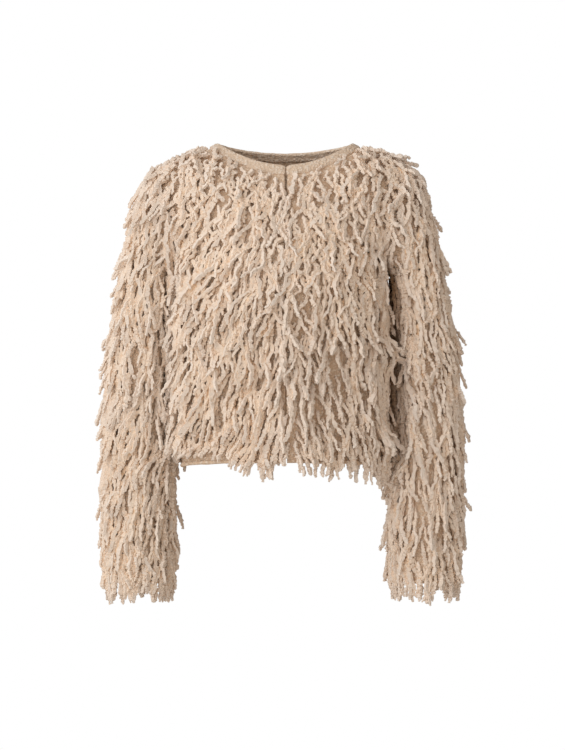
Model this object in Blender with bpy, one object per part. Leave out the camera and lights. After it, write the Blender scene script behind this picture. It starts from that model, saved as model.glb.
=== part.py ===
"""A cropped, collarless cardigan of fringed boucle knit, worn open-hollow on a general figure.

The ground cloth is cut as two fronts, a back and two sleeves, with a plain knitted neckband.
Every panel but the neckband carries a thick layer of hanging boucle fringe, which is a plain
solid of its reach here: it starts 0.3 mm off the ground cloth and ends where the yarn ends.

Frame: +Z up, +X to the wearer's left, +Y to the wearer's back.  The origin is the middle of
the neck opening at the height where the neckband crosses the shoulders.
All sizes below are millimetres; a mesh is scaled to metres when it is made.
"""

import math

import bpy
from mathutils import Vector

MM = 0.001

# --- driving sizes -------------------------------------------------------------------
CLOTH_THICK = 2.6  # ground knit
SEAM_GAP = 0.3  # between two pieces at a seam, and between a panel and its fringe
BAND_THICK = 4.4  # doubled neckband
BAND_PROUD = 1.0  # how far the neckband stands out from the ground cloth's face
FRINGE_DEEP = 13.0  # how far the fringe stands off the ground cloth
FRINGE_AT_NECK = 4.0  # and where it begins beside the neckband
FRINGE_UNDERARM = 5.6  # and where body and sleeve press together
FRINGE_IN_ARMPIT = 1.2  # and right in the armpit
NECK_FADE = 42.0  # distance from the neckline over which the fringe reaches its depth
ARMPIT_FADE = 95.0  # and from the armpit

HEM_FRONT_Z, HEM_SIDE_Z, HEM_BACK_Z = -470.0, -482.0, -460.0
CHEST_FRONT_Z, CHEST_BACK_Z = -232.0, -232.0  # centre lines of the row that ends in the armpit
OPENING_X = 5.0  # the front opening lies a little to the wearer's left
OPENING_GAP = 2.4  # between the two front edges

# Neckline seam, where the neckband is sewn on, and the neckband's top edge.
NECK_CENTRE_X, NECK_CENTRE_Y = 4.0, 4.0
SEAM_NECK = dict(half_width=114.0, front=68.0, back=63.0, top_z=-4.0, front_drop=47.0, back_drop=15.0)
EDGE_NECK = dict(half_width=102.0, front=61.0, back=56.0, top_z=2.5, front_drop=38.5, back_drop=10.5)

# --- sections ------------------------------------------------------------------------
# Centre-line profiles of the body, read by height.
PROFILE_COLUMNS = ("z", "y")
FRONT_PROFILE = (
    (-470, -116), (-380, -110), (-300, -119), (-240, -125), (-180, -119), (-110, -96), (-51, -64),
)
BACK_PROFILE = (
    (-460, 98), (-385, 92), (-300, 98), (-240, 105), (-180, 111), (-110, 110), (-60, 95), (-19, 67),
)
SIDE_COLUMNS = ("z", "x")
SIDE_PROFILE = ((-484, 148), (-400, 150), (-300, 151), (-200, 150))

# How each cross row of a body panel runs from the centre to its outer edge.
# level: 0 hem, 1 armpit, 2 neckline at the centre, 3 shoulder seam
ROW_COLUMNS = ("level", "straightness", "front_bulge", "back_bulge")
ROW_SHAPE = (
    (0.0, 0.00, 0, 0),
    (1.0, 0.00, 0, 0),
    (1.5, 0.34, 30, 50),
    (2.0, 0.60, 52, 92),
    (2.5, 0.80, 34, 52),
    (3.0, 1.00, 0, 0),
)
ROUNDNESS = 1.74  # 1.66 gives an elliptical quarter, more is squarer
FRONT_CORNER = 62.0  # how strongly the front rows swing out before the side seam

# Sleeve rings from the armhole to the cuff, for the wearer's left arm.  Each ring spans from
# an outer point to an inner one.  Bow draws the front and back of the armhole inwards.
SLEEVE_COLUMNS = ("outer_x", "outer_z", "inner_x", "inner_z", "half_depth", "centre_y", "bow")
SLEEVE_RINGS = (
    (188, -42, 150, -200, 60, 2, 14),
    (198, -52, 157, -197, 61, 2, 10),
    (206, -70, 163, -199, 61, 3, 6),
    (215, -102, 167, -210, 60, 5, 3),
    (226, -155, 168, -245, 58, 8, 0),
    (238, -220, 168, -288, 56, 12, 0),
    (252, -300, 168, -340, 54, 16, 0),
    (259, -385, 168, -402, 52, 18, 0),
    (262, -470, 168, -474, 51, 18, 0),
    (263, -555, 168, -556, 51, 16, 0),
    (262, -604, 168, -604, 50, 14, 0),
    (261, -652, 168, -652, 50, 12, 0),
)

# Rows in each part of a body panel: hem to armpit, armpit to neckline, neckline to shoulder.
BODY_ROWS = (10, 5, 5)
HALF_COLUMNS = 8

# How far the fringe hangs below the ground cloth's edge, from the wearer's right to the left.
CUFF_REACH = 30.0
REACH_COLUMNS = ("x", "reach")
FRONT_REACH = (
    (-150, 8), (-115, 3), (-80, 6), (-62, 22), (-35, 30), (0, 28), (35, 22), (75, 30), (120, 34), (150, 30),
)
BACK_REACH = ((-150, 8), (-120, 14), (-60, 26), (60, 26), (110, 28), (150, 30))

# The largest folds: soft troughs along a line from (ax, ay, az) to (bx, by, bz).
FOLD_COLUMNS = ("ax", "ay", "az", "bx", "by", "bz", "half_width", "depth")
FOLDS = (
    (24, -118, -338, -74, -104, -456, 17, 7.0),
    (-30, -120, -296, -72, -104, -340, 12, 3.5),
    (102, -82, -340, 116, -66, -470, 15, 6.5),
    (62, -112, -250, 96, -92, -300, 14, 3.0),
    (-100, -92, -180, -60, -116, -226, 15, 3.0),
    (-28, 98, -310, 62, 92, -462, 20, 6.5),
    (-104, 76, -290, -112, 66, -470, 16, 5.0),
    (96, 84, -230, 120, 62, -340, 16, 4.0),
    (176, -24, -322, 232, -26, -352, 13, 4.5),
    (172, -30, -250, 214, -40, -276, 12, 3.5),
    (178, 56, -330, 238, 58, -362, 14, 4.0),
    (176, -20, -520, 226, -32, -548, 13, 3.0),
    (-172, -28, -300, -228, -30, -340, 13, 4.5),
    (-172, -30, -392, -222, -30, -420, 12, 3.5),
    (-180, 58, -350, -236, 56, -372, 14, 4.0),
    (-176, -22, -500, -222, -34, -540, 13, 3.0),
)

# Front and sleeve are lettered by the wearer's side.
SIDES = {"right": -1.0, "left": 1.0}

CLOTH_COLOUR = (0.62, 0.50, 0.40, 1.0)
FRINGE_COLOUR = (0.72, 0.61, 0.51, 1.0)
BAND_COLOUR = (0.66, 0.55, 0.45, 1.0)


# --- tables and curves ---------------------------------------------------------------
def read(table, at, column=1):
    """The column's value at a place in the first column, along a smooth curve that doesn't overshoot."""
    rows = sorted(table)
    xs = [r[0] for r in rows]
    ys = [r[column] for r in rows]
    if at <= xs[0]:
        return ys[0]
    if at >= xs[-1]:
        return ys[-1]
    slopes = [(ys[i + 1] - ys[i]) / (xs[i + 1] - xs[i]) for i in range(len(xs) - 1)]
    tangents = [slopes[0]]
    for before, after in zip(slopes, slopes[1:]):
        tangents.append(0.0 if before * after <= 0 else 2 * before * after / (before + after))
    tangents.append(slopes[-1])
    i = max(k for k in range(len(xs) - 1) if xs[k] <= at)
    span = xs[i + 1] - xs[i]
    t = (at - xs[i]) / span
    return hermite(ys[i], ys[i + 1], tangents[i] * span, tangents[i + 1] * span, t)


def hermite(start, end, leaving, arriving, t):
    return (
        (2 * t**3 - 3 * t**2 + 1) * start
        + (t**3 - 2 * t**2 + t) * leaving
        + (3 * t**2 - 2 * t**3) * end
        + (t**3 - t**2) * arriving
    )


def mix(a, b, t):
    return a + (b - a) * t


def ease(t):
    t = min(1.0, max(0.0, t))
    return t * t * (3 - 2 * t)


def neck_point(neck, turn, side, front):
    """A point of a neckline: turn 0 is the centre line, 1 is over the shoulder."""
    angle = turn * math.pi / 2
    depth, drop = (neck["front"], neck["front_drop"]) if front else (neck["back"], neck["back_drop"])
    centre_x = OPENING_X + side * OPENING_GAP / 2 if front else NECK_CENTRE_X
    x = mix(centre_x, NECK_CENTRE_X + side * neck["half_width"], math.sin(angle))
    y = NECK_CENTRE_Y + (-depth if front else depth) * math.cos(angle)
    z = neck["top_z"] - drop * math.cos(angle) ** 2
    return Vector((x, y, z))


def ring_values(along):
    """The sleeve table's row at a place along it, from 0, the armhole, to 1, the cuff."""
    last = len(SLEEVE_RINGS) - 1
    numbered = [(i / last, *row) for i, row in enumerate(SLEEVE_RINGS)]
    return [read(numbered, along, c + 1) for c in range(len(SLEEVE_COLUMNS))]


def sleeve_point(along, turn, side):
    """turn 0 is the top or outside of the sleeve, 0.25 its front, 0.5 its inside, 0.75 its back."""
    outer_x, outer_z, inner_x, inner_z, half_depth, centre_y, bow = ring_values(along)
    angle = turn * 2 * math.pi
    x = mix(inner_x, outer_x, 0.5 + 0.5 * math.cos(angle)) - bow * abs(math.sin(angle))
    y = centre_y - half_depth * math.sin(angle)
    z = mix(inner_z, outer_z, 0.5 + 0.5 * math.cos(angle))
    return Vector((side * x, y, z))


# --- body panels ---------------------------------------------------------------------
def centre_point(level, side, front):
    """The edge of a body panel at its centre: the opening or centre back, then the neckline."""
    if level > 2:
        return neck_point(SEAM_NECK, level - 2, side, front)
    neck = neck_point(SEAM_NECK, 0, side, front)
    hem, chest = (HEM_FRONT_Z, CHEST_FRONT_Z) if front else (HEM_BACK_Z, CHEST_BACK_Z)
    z = mix(hem, chest, level) if level <= 1 else mix(chest, neck.z, level - 1)
    y = read(FRONT_PROFILE if front else BACK_PROFILE, z)
    return Vector((neck.x, y, z))


def outer_point(level, side, front):
    """The edge of a body panel at the side seam, then round the armhole."""
    if level <= 1:
        z = mix(HEM_SIDE_Z, SLEEVE_RINGS[0][3], level)
        y = SLEEVE_RINGS[0][5]
        return Vector((side * read(SIDE_PROFILE, z), y, z))
    up = (level - 1) / 4  # a quarter turn of the armhole for each level
    return sleeve_point(0, 0.5 - up if front else 0.5 + up, side)


def body_point(level, across, side, front):
    """across runs from 0 at the centre to 1 at the side seam or armhole."""
    start, end = centre_point(level, side, front), outer_point(level, side, front)
    straight = read(ROW_SHAPE, level, 1)
    bulge = -read(ROW_SHAPE, level, 2) if front else read(ROW_SHAPE, level, 3)
    chord = end - start
    leaving = Vector((ROUNDNESS * chord.x, bulge, 0)).lerp(chord + Vector((0, bulge, 0)), straight)
    corner = -side * FRONT_CORNER * (1 - ease(level - 1)) if front else 0.0
    arriving = Vector((corner, ROUNDNESS * chord.y - bulge, 2 * chord.z))
    arriving = arriving.lerp(chord - Vector((0, bulge, 0)), straight)
    return Vector([hermite(start[k], end[k], leaving[k], arriving[k], across) for k in range(3)])


def levels():
    found = [0.0]
    for part, rows in enumerate(BODY_ROWS):
        found += [part + (i + 1) / rows for i in range(rows)]
    return found


def body_grid(side, front):
    """Rows from hem to shoulder, each from the centre outwards."""
    steps = [i / HALF_COLUMNS for i in range(HALF_COLUMNS + 1)]
    return [[body_point(v, s, side, front) for s in steps] for v in levels()]


def armhole_turns():
    """Where the body's rows meet the sleeve's first ring, once round from the shoulder."""
    front = [0.5 - (v - 1) / 4 for v in levels() if v >= 1]
    back = [0.5 + (v - 1) / 4 for v in levels() if v > 1]
    return sorted(front + back)[:-1]


def sleeve_grid(side):
    """Rings from the cuff to the armhole."""
    last = len(SLEEVE_RINGS) - 1
    turns = armhole_turns()
    turns = turns + turns[:1]
    return [[sleeve_point(i / last, t, side) for t in turns] for i in range(last, -1, -1)]


# --- sheets --------------------------------------------------------------------------
class Sheet:
    """A panel's surface, facing out: its points, and its faces as rings of point numbers."""

    def __init__(self, grids, middle):
        """grids are rows of points, the first one at the open hem or cuff, that join where they meet."""
        self.points, self.faces, self.hem = [], [], set()
        numbers = {}
        for grid in grids:
            rows = [[self.number(p, numbers) for p in row] for row in grid]
            self.hem.update(rows[0])
            for low, high in zip(rows, rows[1:]):
                for k in range(len(low) - 1):
                    self.faces.append([low[k], low[k + 1], high[k + 1], high[k]])
            self.turn_out(middle, len(rows[0]) - 1, len(rows) - 1)

    def number(self, point, numbers):
        place = key(point)
        if place not in numbers:
            numbers[place] = len(self.points)
            self.points.append(point)
        return numbers[place]

    def face_normal(self, face):
        a, b, c, d = (self.points[i] for i in face)
        return (c - a).cross(d - b).normalized()

    def turn_out(self, middle, columns, rows):
        """Turns the last grid's faces so that they look away from the panel's middle."""
        added = self.faces[-columns * rows:]
        total = sum(self.face_normal(f).dot(self.points[f[0]] - middle(self.points[f[0]])) for f in added)
        if total < 0:
            self.faces[-columns * rows:] = [f[::-1] for f in added]

    def normals(self):
        sums = [Vector() for _ in self.points]
        for face in self.faces:
            direction = self.face_normal(face)
            for i in face:
                sums[i] += direction
        return [n.normalized() for n in sums]

    def rim(self):
        """Edges that only one face uses, as (start, end, face) in that face's order."""
        found = {}
        for face in self.faces:
            for a, b in zip(face, face[1:] + face[:1]):
                pair = (min(a, b), max(a, b))
                found[pair] = None if pair in found else (a, b, face)
        return [edge for edge in found.values() if edge]

    def is_open(self, a, b):
        return a in self.hem and b in self.hem

    def inward(self):
        """At each point of a sewn edge, the direction along the cloth away from it, and its stretch."""
        pulls = {}
        for a, b, face in self.rim():
            if self.is_open(a, b):
                continue
            along = (self.points[b] - self.points[a]).normalized()
            middle = sum((self.points[i] for i in face), Vector()) / 4
            across = middle - self.points[a]
            across = (across - along * across.dot(along)).normalized()
            for i in (a, b):
                pulls.setdefault(i, []).append(across)
        found = {}
        for i, ways in pulls.items():
            total = sum(ways, Vector()).normalized()
            found[i] = (total, 1 / max(total.dot(ways[0]), 0.5))
        return found

    def drawn_in(self, points, amounts):
        """The points, with the sewn edges drawn in along the cloth to leave a seam's gap."""
        moved = list(points)
        for i, (way, stretch) in self.inward().items():
            moved[i] = points[i] + way * amounts[i] * stretch
        return moved


def body_middle(point):
    return Vector((0.0, 0.0, min(point.z, -120.0)))


def sleeve_middle(side):
    """The nearest point of the sleeve's middle line."""
    line = [
        Vector((side * (row[0] + row[2]) / 2, row[5], (row[1] + row[3]) / 2)) for row in SLEEVE_RINGS
    ]
    return lambda point: min(line, key=lambda middle: (middle - point).length)


def neck_middle(point):
    return Vector((0.0, NECK_CENTRE_Y, -60.0))


def key(point):
    return tuple(round(x, 2) for x in point)


def corner_directions(sheets):
    """By place, the step that is one unit off every panel that meets there."""
    meeting = {}
    for sheet in sheets.values():
        for point, normal in zip(sheet.points, sheet.normals()):
            meeting.setdefault(key(point), []).append(normal)
    steps = {}
    for place, normals in meeting.items():
        middle = sum(normals, Vector()).normalized()
        rise = sum(middle.dot(n) for n in normals) / len(normals)
        steps[place] = middle / max(rise, 0.45)
    return steps


def fringe_depths(sheets, looks):
    """By place, the fringe's depth, the shallowest of the panels that meet there."""
    depths = {}
    for name, look in looks.items():
        for point in sheets[name].points:
            place = key(point)
            depths[place] = min(depths.get(place, FRINGE_DEEP), look["depth"](point))
    return depths


# --- folds ---------------------------------------------------------------------------
def to_line(point, start, end):
    along = end - start
    t = min(1.0, max(0.0, (point - start).dot(along) / along.length_squared))
    return (point - start - along * t).length


def fold_depth(point):
    """How far the cloth sinks at a point, where the folds' troughs cross it."""
    total = 0.0
    for ax, ay, az, bx, by, bz, half_width, depth in FOLDS:
        away = to_line(point, Vector((ax, ay, az)), Vector((bx, by, bz)))
        total += depth * math.exp(-((away / half_width) ** 2))
    return total


# --- solids --------------------------------------------------------------------------
def halved(faces, points):
    """Each four-sided face as two triangles along its shorter diagonal, so that every layer bends alike."""
    found = []
    for a, b, c, d in faces:
        if (points[a] - points[c]).length <= (points[b] - points[d]).length:
            found += [[a, b, c], [a, c, d]]
        else:
            found += [[a, b, d], [b, c, d]]
    return found


def layered_mesh(name, faces, rim, outer, inner):
    """A closed wall between two copies of a sheet's points, in metres.

    Both sides of a seam take the same diagonal along their edges.
    """
    offset = len(outer)
    made = [list(f) for f in faces] + [[offset + i for i in reversed(f)] for f in faces]
    for a, b in rim:
        if key(outer[a]) < key(outer[b]):
            made += [[b, a, offset + b], [a, offset + a, offset + b]]
        else:
            made += [[b, a, offset + a], [b, offset + a, offset + b]]
    mesh = bpy.data.meshes.new(name)
    mesh.from_pydata([tuple(p * MM) for p in outer + inner], [], made)
    mesh.update()
    return mesh


def material(name, colour, roughness):
    made = bpy.data.materials.new(name)
    made.use_nodes = True
    shader = made.node_tree.nodes["Principled BSDF"]
    shader.inputs["Base Color"].default_value = colour
    shader.inputs["Roughness"].default_value = roughness
    shader.inputs["Metallic"].default_value = 0.0
    made.diffuse_color = colour
    return made


def add_object(name, mesh, finish, parent):
    mesh.shade_smooth()
    mesh.set_sharp_from_angle(angle=math.radians(50))
    made = bpy.data.objects.new(name, mesh)
    made.data.materials.append(finish)
    made.parent = parent
    bpy.context.scene.collection.objects.link(made)
    return made


def moved_out(points, normals, amounts):
    return [p + n * a for p, n, a in zip(points, normals, amounts)]


def build_panel(name, sheet, steps, deep, reach, finishes, root):
    """A ground panel and the fringe on it."""
    normals = [steps[key(p)] for p in sheet.points]
    folded = [p - n * fold_depth(p) for p, n in zip(sheet.points, normals)]
    face = sheet.drawn_in(folded, [SEAM_GAP / 2 * n.length for n in normals])
    back = moved_out(face, normals, [-CLOTH_THICK] * len(face))
    rim = [(a, b) for a, b, _ in sheet.rim()]
    halves = halved(sheet.faces, face)
    add_object(name, layered_mesh(name, halves, rim, face, back), finishes["cloth"], root)

    # The fringe: the same points moved out, with a skirt of it below the open edge.
    depths = [deep[key(p)] for p in sheet.points]
    points = list(face)
    skirt = []
    rim = [(a, b) for a, b, _ in sheet.rim() if not sheet.is_open(a, b)]
    below = {}
    for i in sorted(sheet.hem):
        level_out = Vector((normals[i].x, normals[i].y, 0.0)).normalized()
        normals[i] = level_out
        below[i] = len(points)
        points.append(points[i] - Vector((0, 0, reach(sheet.points[i]))))
        normals.append(level_out)
        depths.append(depths[i])
    open_edges = [(a, b) for a, b, _ in sheet.rim() if sheet.is_open(a, b)]
    ends = [i for i in sheet.hem if sum(i in pair for pair in open_edges) == 1]
    for a, b in open_edges:
        skirt.append([b, a, below[a], below[b]])
        rim.append((below[a], below[b]))
        if a in ends:
            rim.append((a, below[a]))
        if b in ends:
            rim.append((below[b], b))
    near = moved_out(points, normals, [SEAM_GAP] * len(points))
    far = moved_out(points, normals, [SEAM_GAP + d for d in depths])
    made = layered_mesh(name + "_fringe", halves + halved(skirt, points), rim, far, near)
    add_object(name + "_fringe", made, finishes["fringe"], root)


def neckband_grid():
    """Three rows, from the seam to the top edge, from front edge to front edge round the back."""
    steps = BODY_ROWS[2]
    path = [(-1.0, True, i / steps) for i in range(steps)]
    path += [(-1.0, False, 1 - i / steps) for i in range(steps)]
    path += [(1.0, False, i / steps) for i in range(steps)]
    path += [(1.0, True, 1 - i / steps) for i in range(steps + 1)]
    seam = [neck_point(SEAM_NECK, turn, side, front) for side, front, turn in path]
    edge = [neck_point(EDGE_NECK, turn, side, front) for side, front, turn in path]
    middle = [a.lerp(b, 0.5) + Vector((0, 0, 0.8)) for a, b in zip(seam, edge)]
    return [seam, middle, edge]


def neckline_points():
    steps = 12
    return [
        neck_point(SEAM_NECK, i / steps, side, front)
        for side in SIDES.values()
        for front in (True, False)
        for i in range(steps + 1)
    ]


def fringe_look(reach, pressed):
    """The fringe's depth: thin beside the neckband and in the armpit, pressed flat under the arm."""
    neckline = neckline_points()
    armpits = [sleeve_point(0, 0.5, side) for side in SIDES.values()]

    def depth(point):
        deep = mix(FRINGE_DEEP, FRINGE_UNDERARM, pressed(point))
        from_neck = min((point - p).length for p in neckline)
        from_armpit = min((point - p).length for p in armpits)
        deep = mix(FRINGE_AT_NECK, deep, ease(from_neck / NECK_FADE))
        return mix(FRINGE_IN_ARMPIT, deep, ease((from_armpit - 8.0) / ARMPIT_FADE))

    return {"reach": reach, "depth": depth}


def pressed_body(point):
    """1 at the side of the body under the arm, 0 over the front and the back."""
    outward = ease((abs(point.x) - 118.0) / 26.0)
    beside_sleeve = ease((point.y + 62.0) / 45.0)
    return outward * mix(0.35, 1.0, beside_sleeve) * ease((-150.0 - point.z) / 40.0)


def pressed_sleeve(point):
    """1 on the inside of the arm above the hem, less below it."""
    inward = ease((196.0 - abs(point.x)) / 22.0)
    return inward * mix(1.0, 0.45, ease((-490.0 - point.z) / 60.0)) * ease((-120.0 - point.z) / 60.0)


def main():
    for obj in list(bpy.data.objects):
        bpy.data.objects.remove(obj, do_unlink=True)

    finishes = {
        "cloth": material("ground_knit", CLOTH_COLOUR, 0.9),
        "fringe": material("boucle_fringe", FRINGE_COLOUR, 0.95),
        "band": material("neckband_knit", BAND_COLOUR, 0.9),
    }
    root = bpy.data.objects.new("cardigan", None)
    bpy.context.scene.collection.objects.link(root)

    sheets = {"back": Sheet([body_grid(-1.0, False), body_grid(1.0, False)], body_middle)}
    looks = {"back": fringe_look(lambda point: read(BACK_REACH, point.x), pressed_body)}
    for side_name, side in SIDES.items():
        sheets["front_" + side_name] = Sheet([body_grid(side, True)], body_middle)
        sheets["sleeve_" + side_name] = Sheet([sleeve_grid(side)], sleeve_middle(side))
        looks["front_" + side_name] = fringe_look(lambda point: read(FRONT_REACH, point.x), pressed_body)
        looks["sleeve_" + side_name] = fringe_look(lambda point: CUFF_REACH, pressed_sleeve)
    sheets["neckband"] = Sheet([neckband_grid()], neck_middle)
    sheets["neckband"].hem.clear()

    steps = corner_directions(sheets)
    deep = fringe_depths(sheets, looks)
    for name, look in looks.items():
        build_panel(name, sheets[name], steps, deep, look["reach"], finishes, root)

    band = sheets["neckband"]
    normals = [steps[key(p)] for p in band.points]
    points = band.drawn_in(band.points, [SEAM_GAP / 2] * len(band.points))
    outer = moved_out(points, normals, [BAND_PROUD] * len(points))
    inner = moved_out(points, normals, [BAND_PROUD - BAND_THICK] * len(points))
    rim = [(a, b) for a, b, _ in band.rim()]
    halves = halved(band.faces, band.points)
    add_object("neckband", layered_mesh("neckband", halves, rim, outer, inner), finishes["band"], root)


main()
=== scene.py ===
import math

import bmesh
import bpy
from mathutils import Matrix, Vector
from mathutils.bvhtree import BVHTree


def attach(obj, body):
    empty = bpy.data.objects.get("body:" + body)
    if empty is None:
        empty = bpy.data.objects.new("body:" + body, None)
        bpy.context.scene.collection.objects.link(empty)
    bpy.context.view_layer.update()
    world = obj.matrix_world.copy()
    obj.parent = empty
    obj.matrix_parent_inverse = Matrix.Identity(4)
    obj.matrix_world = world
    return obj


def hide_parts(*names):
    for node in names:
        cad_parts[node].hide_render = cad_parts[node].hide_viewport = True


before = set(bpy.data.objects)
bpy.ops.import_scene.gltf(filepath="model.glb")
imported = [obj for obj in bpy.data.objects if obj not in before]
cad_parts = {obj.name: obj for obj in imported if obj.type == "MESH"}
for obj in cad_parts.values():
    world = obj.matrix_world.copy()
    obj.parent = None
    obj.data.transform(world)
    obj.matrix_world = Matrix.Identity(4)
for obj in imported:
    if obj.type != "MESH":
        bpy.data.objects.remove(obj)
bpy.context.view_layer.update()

scene = bpy.context.scene
panels = ("front_right", "front_left", "back", "sleeve_right", "sleeve_left")
bodyPanels = panels[:3]
down = (0.0, 0.0, -1.0)
white = (1, 1, 1, 1)


# Camera, level with the middle of the cardigan.
view = {"distance": 3.5, "height": -0.345, "tallView": 1.125, "sensor": 24.0}
camera = bpy.data.objects.new("camera", bpy.data.cameras.new("camera"))
camera.data.sensor_fit = "VERTICAL"
camera.data.sensor_height = view["sensor"]
camera.data.lens = view["sensor"] * view["distance"] / view["tallView"]
camera.location = (0, -view["distance"], view["height"])
camera.rotation_euler = (math.pi / 2, 0, 0)
scene.collection.objects.link(camera)
scene.camera = camera
scene.view_settings.view_transform = "Standard"


# Node trees are written as sums: a Wire is one socket, and sums on it add Math nodes.
class Wire:
    def __init__(self, maker, socket):
        self.maker = maker
        self.socket = socket

    def __add__(self, other):
        return self.maker.math("ADD", self, other)

    def __radd__(self, other):
        return self.maker.math("ADD", other, self)

    def __sub__(self, other):
        return self.maker.math("SUBTRACT", self, other)

    def __rsub__(self, other):
        return self.maker.math("SUBTRACT", other, self)

    def __mul__(self, other):
        return self.maker.math("MULTIPLY", self, other)

    def __rmul__(self, other):
        return self.maker.math("MULTIPLY", other, self)

    def __truediv__(self, other):
        return self.maker.math("DIVIDE", self, other)

    def __rtruediv__(self, other):
        return self.maker.math("DIVIDE", other, self)

    def __pow__(self, other):
        return self.maker.math("POWER", self, other)

    def __rpow__(self, other):
        return self.maker.math("POWER", other, self)

    def __gt__(self, other):
        return self.maker.math("GREATER_THAN", self, other)

    def __lt__(self, other):
        return self.maker.math("LESS_THAN", self, other)


class Maker:
    def __init__(self, tree):
        self.tree = tree

    # Every node comes from here: its type, its settings, then its socket values or links.
    def add(self, kind, settings=None, inputs=None):
        node = self.tree.nodes.new(kind)
        for name, value in (settings or {}).items():
            setattr(node, name, value)
        for name, value in (inputs or {}).items():
            self.feed(self.socket(node.inputs, name), value)
        return node

    def socket(self, sockets, name):
        if isinstance(name, int):
            return sockets[name]
        for socket in sockets:
            if socket.identifier == name:
                return socket
        return sockets[name]

    def feed(self, socket, value):
        if isinstance(value, Wire):
            self.tree.links.new(value.socket, socket)
        else:
            socket.default_value = value

    def out(self, node, name=0):
        return Wire(self, self.socket(node.outputs, name))

    def value(self, kind, settings=None, inputs=None, name=0):
        return self.out(self.add(kind, settings, inputs), name)

    def math(self, operation, *values):
        return self.value("ShaderNodeMath", {"operation": operation}, dict(enumerate(values)))

    def vector(self, operation, *values, name=0):
        return self.value("ShaderNodeVectorMath", {"operation": operation}, dict(enumerate(values)), name)

    def scaled(self, vector, scale):
        return self.value("ShaderNodeVectorMath", {"operation": "SCALE"}, {0: vector, "Scale": scale})

    def unit(self, vector):
        return self.vector("NORMALIZE", vector)

    def dot(self, first, second):
        return self.vector("DOT_PRODUCT", first, second, name="Value")

    def between(self, first, second, factor, blend="MIX"):
        inputs = {"Factor_Float": factor, "A_Color": first, "B_Color": second}
        settings = {"data_type": "RGBA", "blend_type": blend}
        return self.value("ShaderNodeMix", settings, inputs, "Result_Color")

    def ramp(self, value, low, high, start=0.0, end=1.0):
        inputs = {"Value": value, "From Min": low, "From Max": high, "To Min": start, "To Max": end}
        return self.value("ShaderNodeMapRange", {"interpolation_type": "SMOOTHSTEP"}, inputs, "Result")

    def noise(self, place, scale, detail, roughness=0.5):
        inputs = {"Vector": place, "Scale": scale, "Detail": detail, "Roughness": roughness}
        return self.value("ShaderNodeTexNoise", None, inputs, "Fac")

    def swing(self, place, scale, detail):
        # Noise about nought.
        return (self.noise(place, scale, detail) - 0.5) * 2.0


class GeometryMaker(Maker):
    # A tree with named inputs, which ends in plain faces with their material.
    def __init__(self, name, inputs):
        super().__init__(bpy.data.node_groups.new(name, "GeometryNodeTree"))
        for label, kind in inputs.items():
            self.tree.interface.new_socket(label, in_out="INPUT", socket_type="NodeSocket" + kind)
        self.tree.interface.new_socket("Piece", in_out="OUTPUT", socket_type="NodeSocketGeometry")
        self.group = self.add("NodeGroupInput")

    def given(self, name):
        return self.out(self.group, name)

    def finish(self, geometry, material):
        plainFaces = self.value("GeometryNodeRealizeInstances", None, {"Geometry": geometry})
        painted = {"Geometry": plainFaces, "Material": material}
        self.add("NodeGroupOutput", None, {0: self.value("GeometryNodeSetMaterial", None, painted)})
        return self.tree


def sizeSockets(sizes):
    return {name: "Int" if isinstance(size, int) else "Float" for name, size in sizes.items()}


def setInputs(modifier, values):
    # A modifier's inputs go by their identifiers.
    for item in modifier.node_group.interface.items_tree:
        if item.in_out == "INPUT" and item.name in values:
            modifier[item.identifier] = values[item.name]


# Materials.
# Wool, in both the yarn and the knit: dull, with a faint sheen.
wool = {
    "roughness": 0.95,
    "specular": 0.15,
    "sheen": 0.2,
    "sheenRoughness": 0.5,
    "sheenTint": (1.0, 0.93, 0.86, 1),
    "bumpStrength": 0.9,
    "loopDetail": 3.0,
    "loopRoughness": 0.6,
}
# Painted shade: the yarn's colour goes from the tip colour through light and mid to the under colour, deeper
# and warmer, as more of the strands around lies over it, and the hollow colour darkens it where cloth shuts
# it in. The tip colour, on the most open yarn, is a little darker and greyer than the light one, which tones
# down the highlights there.
yarnLook = {
    "tip": (0.88, 0.785, 0.705, 1),
    "light": (0.90, 0.790, 0.700, 1),
    "mid": (0.92, 0.785, 0.665, 1),
    "underShade": (0.93, 0.700, 0.490, 1),
    "coverShadeSteps": (0.02, 0.28, 0.50, 0.85),
    "hollow": (0.42, 0.31, 0.22, 1),
    "hollowShadeSteps": (0.15, 0.5),
    "strandTone": (0.92, 0.86, 0.80, 1),
    "strandChange": 0.6,
    "mottleShade": 0.35,
    "mottleShadeSteps": (0.60, 0.36),
    "loopScale": 400.0,
    "bumpDistance": 0.0010,
}
# Painted shade: the ground knit is the same yarn as the band, given darker and warmer colours because it lies
# in the fringe's shade.
knitLook = {
    "light": (0.95, 0.820, 0.690, 1),
    "deep": (0.72, 0.530, 0.380, 1),
    "mottleShadeSteps": (0.38, 0.72),
    "loopShare": 0.5,
    "stitchShare": 0.4,
    "relief": 0.6,
    "loopScale": 250.0,
    "bumpDistance": 0.0030,
}
bandLook = dict(knitLook, light=(0.97, 0.865, 0.765, 1), deep=(0.74, 0.57, 0.43, 1), loopScale=260.0)


def newMaterial(name):
    material = bpy.data.materials.new(name)
    material.use_nodes = True
    material.node_tree.nodes.clear()
    return material, Maker(material.node_tree)


def loopNoise(maker, place, look):
    return maker.noise(place, look["loopScale"], wool["loopDetail"], wool["loopRoughness"])


def finishMaterial(maker, colour, height, look):
    relief = {"Strength": wool["bumpStrength"], "Distance": look["bumpDistance"], "Height": height}
    bump = maker.value("ShaderNodeBump", None, relief)
    inputs = {
        "Base Color": colour,
        "Roughness": wool["roughness"],
        "Normal": bump,
        "Specular IOR Level": wool["specular"],
        "Sheen Weight": wool["sheen"],
        "Sheen Roughness": wool["sheenRoughness"],
        "Sheen Tint": wool["sheenTint"],
    }
    shader = maker.value("ShaderNodeBsdfPrincipled", None, inputs)
    maker.add("ShaderNodeOutputMaterial", None, {"Surface": shader})


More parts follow.
